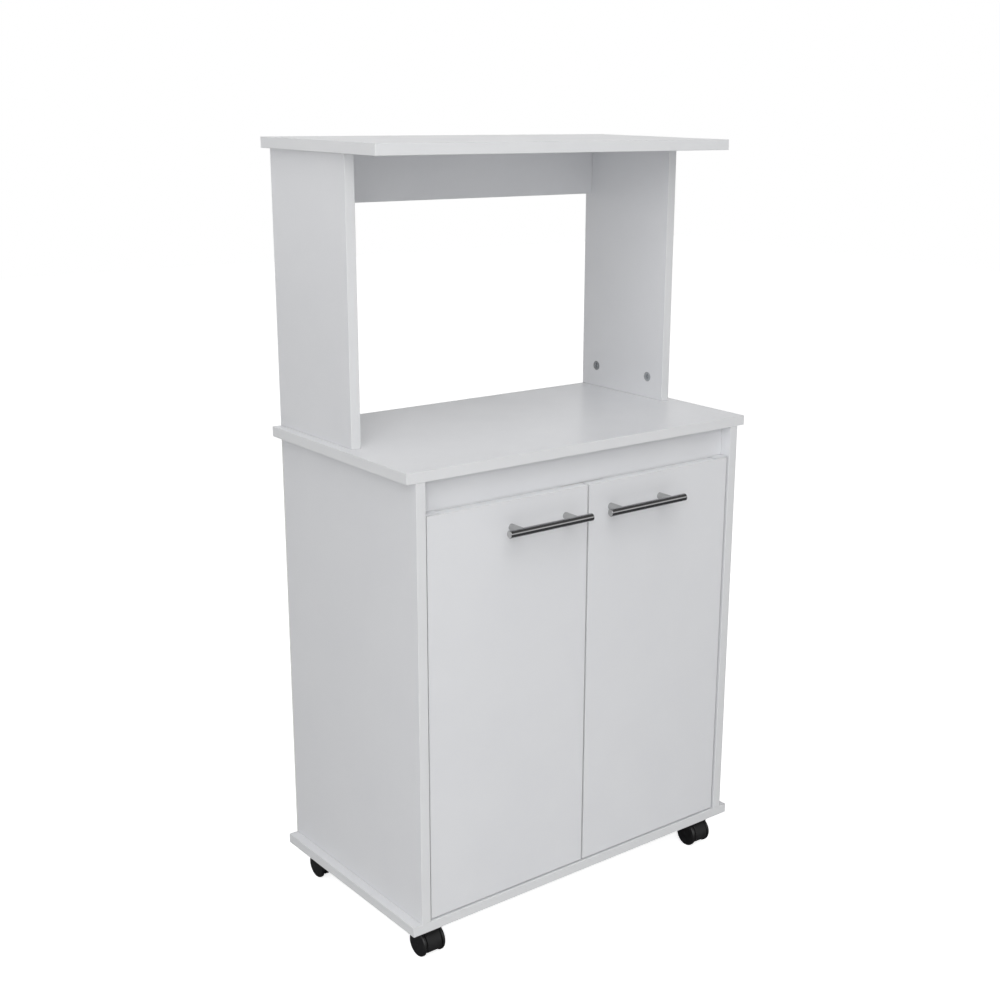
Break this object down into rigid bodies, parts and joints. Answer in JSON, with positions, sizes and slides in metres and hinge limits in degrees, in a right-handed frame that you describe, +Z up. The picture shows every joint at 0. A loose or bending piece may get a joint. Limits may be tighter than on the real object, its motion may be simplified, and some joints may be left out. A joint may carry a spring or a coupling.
{
  "type": "microwave cabinet",
  "caption": "Upright kitchen cabinet on swivel casters: a compartment closed by hinged doors, an open bay on its worktop and a shelf on uprights above.",
  "frame": {"origin": "On the floor, under the middle of the whole outline, pulls included", "axes": "+X to the right seen from the front, +Y to the back, +Z up"},
  "size_m": [0.618, 0.381, 1.13],
  "materials": {
    "beech": "bare fluted beech",
    "black_coated_steel": "black e-coat",
    "black_nylon": "moulded black nylon",
    "brushed_steel": "satin brushed along the bar",
    "ferrite_magnet": "ground dark ferrite",
    "white_board": "white satin melamine on particleboard, edges banded in the same white",
    "white_coated_steel": "white powder coat",
    "white_hardboard": "thin hardboard with a painted white face",
    "white_plastic": "moulded white plastic",
    "zinc_plated_steel": "bright zinc plate"
  },
  "bodies": {
    "cabinet": {"base_board": "white_board", "side_panel_left": "white_board", "side_panel_right": "white_board", "worktop": "white_board", "front_rail": "white_board", "inner_shelf": "white_board", "back_panel": "white_hardboard", "upright_left": "white_board", "upright_right": "white_board", "hutch_rail": "white_board", "top_shelf": "white_board", "bottom_pivots": "zinc_plated_steel", "top_pivot_strip": "white_coated_steel", "top_pivot_screws": "zinc_plated_steel", "catch_case": "white_plastic", "catch_magnets": "ferrite_magnet", "catch_screws": "zinc_plated_steel", "caster_plate_fl": "black_coated_steel", "caster_plate_fr": "black_coated_steel", "caster_plate_bl": "black_coated_steel", "caster_plate_br": "black_coated_steel", "caster_screws": "zinc_plated_steel", "cam_bolts": "zinc_plated_steel", "cam_discs": "zinc_plated_steel", "dowels": "beech", "carcass_screws": "zinc_plated_steel", "screw_caps": "white_plastic", "back_panel_pins": "zinc_plated_steel", "shelf_pins": "zinc_plated_steel"},
    "left_door": {"door_left": "white_board", "pull_bar_left": "brushed_steel", "pull_posts_left": "brushed_steel", "pull_screws_left": "zinc_plated_steel", "door_bushes_left": "white_plastic", "strike_plate_left": "zinc_plated_steel"},
    "right_door": {"door_right": "white_board", "pull_bar_right": "brushed_steel", "pull_posts_right": "brushed_steel", "pull_screws_right": "zinc_plated_steel", "door_bushes_right": "white_plastic", "strike_plate_right": "zinc_plated_steel"},
    "caster_fl_body": {"caster_hood_fl": "black_nylon", "caster_axle_fl": "zinc_plated_steel"},
    "caster_fr_body": {"caster_hood_fr": "black_nylon", "caster_axle_fr": "zinc_plated_steel"},
    "caster_bl_body": {"caster_hood_bl": "black_nylon", "caster_axle_bl": "zinc_plated_steel"},
    "caster_br_body": {"caster_hood_br": "black_nylon", "caster_axle_br": "zinc_plated_steel"},
    "wheel_fl_left_body": {"wheel_fl_left": "black_nylon"},
    "wheel_fl_right_body": {"wheel_fl_right": "black_nylon"},
    "wheel_fr_left_body": {"wheel_fr_left": "black_nylon"},
    "wheel_fr_right_body": {"wheel_fr_right": "black_nylon"},
    "wheel_bl_left_body": {"wheel_bl_left": "black_nylon"},
    "wheel_bl_right_body": {"wheel_bl_right": "black_nylon"},
    "wheel_br_left_body": {"wheel_br_left": "black_nylon"},
    "wheel_br_right_body": {"wheel_br_right": "black_nylon"}
  },
  "joints": [
    {"name": "left_door_hinge", "type": "hinge", "parent": "cabinet", "child": "left_door", "pos_m": [-0.266, -0.15, 0.365], "axis": [0, 0, -1], "range_deg": [0, 105]},
    {"name": "right_door_hinge", "type": "hinge", "parent": "cabinet", "child": "right_door", "pos_m": [0.266, -0.15, 0.365], "axis": [0, 0, 1], "range_deg": [0, 105]},
    {"name": "fl_swivel", "type": "hinge", "parent": "cabinet", "child": "caster_fl_body", "pos_m": [-0.266, -0.1155, 0.04], "axis": [0, 0, 1], "continuous": true},
    {"name": "fl_left_wheel_spin", "type": "hinge", "parent": "caster_fl_body", "child": "wheel_fl_left_body", "pos_m": [-0.282, -0.1295, 0.02], "axis": [1, 0, 0], "continuous": true},
    {"name": "fl_right_wheel_spin", "type": "hinge", "parent": "caster_fl_body", "child": "wheel_fl_right_body", "pos_m": [-0.25, -0.1295, 0.02], "axis": [1, 0, 0], "continuous": true},
    {"name": "fr_swivel", "type": "hinge", "parent": "cabinet", "child": "caster_fr_body", "pos_m": [0.266, -0.1155, 0.04], "axis": [0, 0, 1], "continuous": true},
    {"name": "fr_left_wheel_spin", "type": "hinge", "parent": "caster_fr_body", "child": "wheel_fr_left_body", "pos_m": [0.25, -0.1295, 0.02], "axis": [1, 0, 0], "continuous": true},
    {"name": "fr_right_wheel_spin", "type": "hinge", "parent": "caster_fr_body", "child": "wheel_fr_right_body", "pos_m": [0.282, -0.1295, 0.02], "axis": [1, 0, 0], "continuous": true},
    {"name": "bl_swivel", "type": "hinge", "parent": "cabinet", "child": "caster_bl_body", "pos_m": [-0.266, 0.1395, 0.04], "axis": [0, 0, 1], "continuous": true},
    {"name": "bl_left_wheel_spin", "type": "hinge", "parent": "caster_bl_body", "child": "wheel_bl_left_body", "pos_m": [-0.282, 0.1535, 0.02], "axis": [1, 0, 0], "continuous": true},
    {"name": "bl_right_wheel_spin", "type": "hinge", "parent": "caster_bl_body", "child": "wheel_bl_right_body", "pos_m": [-0.25, 0.1535, 0.02], "axis": [1, 0, 0], "continuous": true},
    {"name": "br_swivel", "type": "hinge", "parent": "cabinet", "child": "caster_br_body", "pos_m": [0.266, 0.1395, 0.04], "axis": [0, 0, 1], "continuous": true},
    {"name": "br_left_wheel_spin", "type": "hinge", "parent": "caster_br_body", "child": "wheel_br_left_body", "pos_m": [0.25, 0.1535, 0.02], "axis": [1, 0, 0], "continuous": true},
    {"name": "br_right_wheel_spin", "type": "hinge", "parent": "caster_br_body", "child": "wheel_br_right_body", "pos_m": [0.282, 0.1535, 0.02], "axis": [1, 0, 0], "continuous": true}
  ]
}
